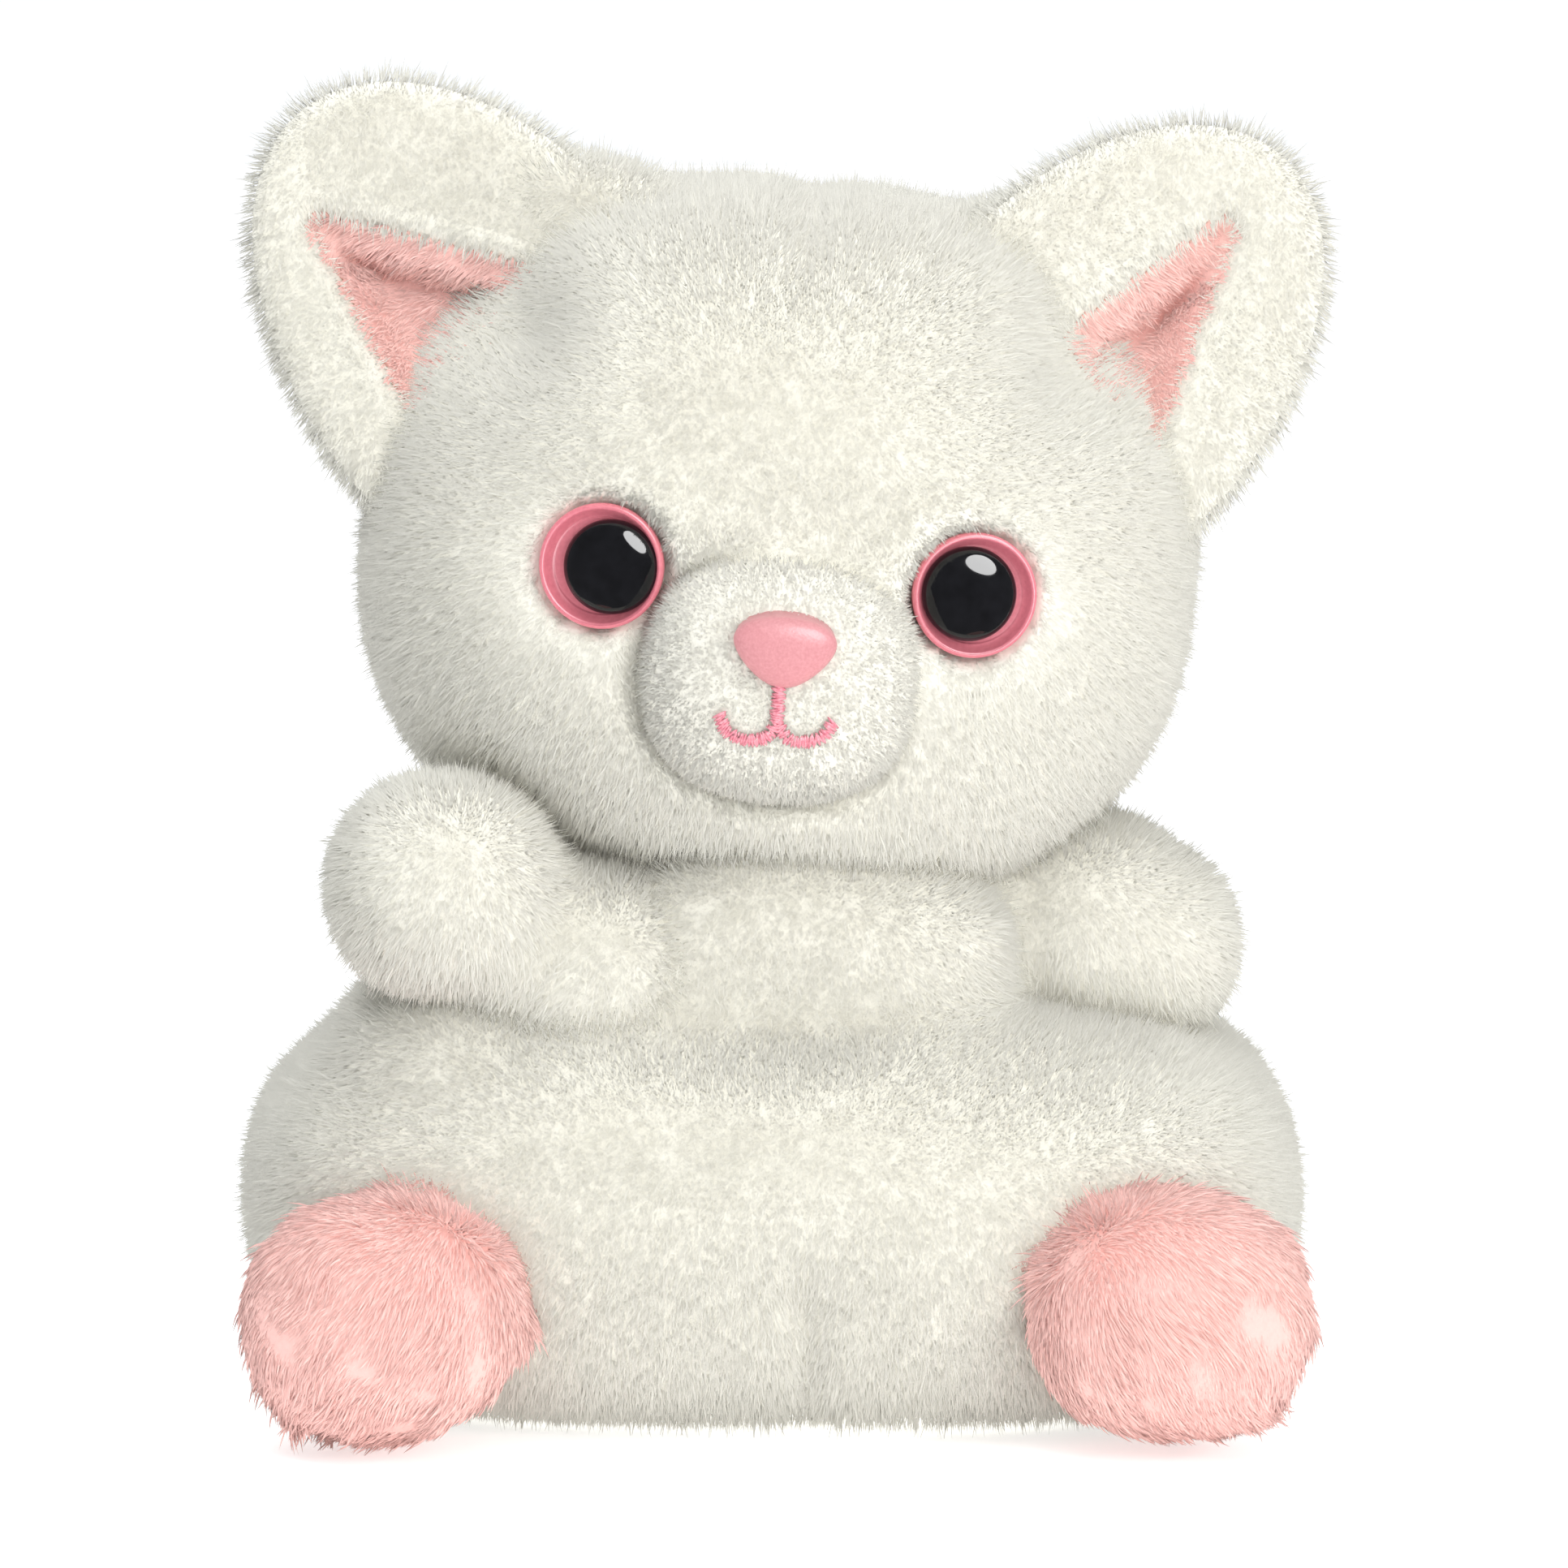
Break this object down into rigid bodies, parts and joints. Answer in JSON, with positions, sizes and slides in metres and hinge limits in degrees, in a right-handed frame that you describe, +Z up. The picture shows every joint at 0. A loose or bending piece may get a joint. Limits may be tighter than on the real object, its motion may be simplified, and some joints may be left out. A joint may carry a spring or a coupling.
{
  "type": "plush cat",
  "caption": "Seated bean-filled plush cat with a large round head, cupped ears, stub arms, round pink feet, glossy eyes and a soft muzzle.",
  "frame": {"origin": "middle of the flat base that the toy sits on", "axes": "+Z up; the face looks along -Y; +X is to the right as seen from the front"},
  "size_m": [0.1032, 0.099, 0.1269],
  "materials": {
    "white_plush": "short dense pile, off-white, brushed",
    "muzzle_plush": "shorter sheared pile, off-white",
    "pink_plush": "longer brushed pile, soft pink",
    "stuffing": "polyester fibre filling",
    "nose_plastic": "satin moulded plastic",
    "iris_plastic": "satin moulded plastic",
    "pupil_plastic": "polished black",
    "washer_plastic": "natural moulded plastic",
    "pink_thread": "satin stitched embroidery thread",
    "sewing_thread": "strong twisted thread",
    "pouch_cloth": "plain woven cloth",
    "pellet_plastic": "translucent white pellets",
    "label_satin": "blank woven satin ribbon"
  },
  "bodies": {
    "trunk": {"seat_base_panel": "white_plush", "seat_front_cover": "white_plush", "seat_back_cover": "white_plush", "seat_stuffing": "stuffing", "bean_pouch": "pouch_cloth", "bean_pellets": "pellet_plastic", "torso_front_cover": "white_plush", "torso_back_cover": "white_plush", "torso_stuffing": "stuffing", "care_label": "label_satin"},
    "neck_thread": {"neck_gathering_thread": "sewing_thread"},
    "neck": {"neck_pad": "stuffing"},
    "head": {"head_front_cover": "white_plush", "head_back_cover": "white_plush", "head_stuffing": "stuffing", "muzzle_cover": "muzzle_plush", "muzzle_stuffing": "stuffing", "nose": "nose_plastic", "nose_washer": "washer_plastic", "mouth_embroidery": "pink_thread", "left_eye_dish": "iris_plastic", "left_eye_pupil": "pupil_plastic", "left_eye_washer": "washer_plastic", "right_eye_dish": "iris_plastic", "right_eye_pupil": "pupil_plastic", "right_eye_washer": "washer_plastic"},
    "left_ear": {"left_ear_outer": "white_plush", "left_ear_inner": "pink_plush"},
    "right_ear": {"right_ear_outer": "white_plush", "right_ear_inner": "pink_plush"},
    "left_arm": {"left_arm_cover": "white_plush", "left_arm_stuffing": "stuffing"},
    "right_arm": {"right_arm_cover": "white_plush", "right_arm_stuffing": "stuffing"},
    "left_foot": {"left_foot_front_cover": "pink_plush", "left_foot_back_cover": "white_plush", "left_foot_stuffing": "stuffing"},
    "right_foot": {"right_foot_front_cover": "pink_plush", "right_foot_back_cover": "white_plush", "right_foot_stuffing": "stuffing"},
    "tail": {"tail_cover": "white_plush", "tail_stuffing": "stuffing"}
  },
  "joints": [
    {"name": "head_turn", "type": "hinge", "parent": "trunk", "child": "neck_thread", "pos_m": [0, 0.002, 0.05], "axis": [0, 0, 1], "range_deg": [-25, 25], "stiffness_Nm_per_rad": 0.06},
    {"name": "head_nod", "type": "hinge", "parent": "neck_thread", "child": "neck", "pos_m": [0, 0.002, 0.05], "axis": [1, 0, 0], "range_deg": [-10, 10], "stiffness_Nm_per_rad": 0.08},
    {"name": "head_lean", "type": "hinge", "parent": "neck", "child": "head", "pos_m": [0, 0.002, 0.05], "axis": [0, 1, 0], "range_deg": [-7, 7], "stiffness_Nm_per_rad": 0.08},
    {"name": "left_ear_fold", "type": "hinge", "parent": "head", "child": "left_ear", "pos_m": [-0.02622, 0, 0.10071], "axis": [0.7627, 0, 0.6468], "range_deg": [-12, 12], "stiffness_Nm_per_rad": 0.02},
    {"name": "right_ear_fold", "type": "hinge", "parent": "head", "child": "right_ear", "pos_m": [0.0288, 0, 0.09869], "axis": [0.723, 0, -0.6909], "range_deg": [-12, 12], "stiffness_Nm_per_rad": 0.02},
    {"name": "left_arm_lift", "type": "hinge", "parent": "trunk", "child": "left_arm", "pos_m": [-0.02, -0.002, 0.043], "axis": [0, 1, 0], "range_deg": [-18, 6], "stiffness_Nm_per_rad": 0.03},
    {"name": "right_arm_lift", "type": "hinge", "parent": "trunk", "child": "right_arm", "pos_m": [0.02, -0.002, 0.043], "axis": [0, 1, 0], "range_deg": [-8, 6], "stiffness_Nm_per_rad": 0.03},
    {"name": "left_foot_flex", "type": "hinge", "parent": "trunk", "child": "left_foot", "pos_m": [-0.0372, -0.024, 0.0123], "axis": [-1, 0, 0], "range_deg": [0, 15], "stiffness_Nm_per_rad": 0.03},
    {"name": "right_foot_flex", "type": "hinge", "parent": "trunk", "child": "right_foot", "pos_m": [0.0372, -0.024, 0.0123], "axis": [-1, 0, 0], "range_deg": [0, 15], "stiffness_Nm_per_rad": 0.03},
    {"name": "tail_swing", "type": "hinge", "parent": "trunk", "child": "tail", "pos_m": [0, 0.0465, 0.014], "axis": [0, 1, 0], "range_deg": [-20, 20], "stiffness_Nm_per_rad": 0.02}
  ]
}
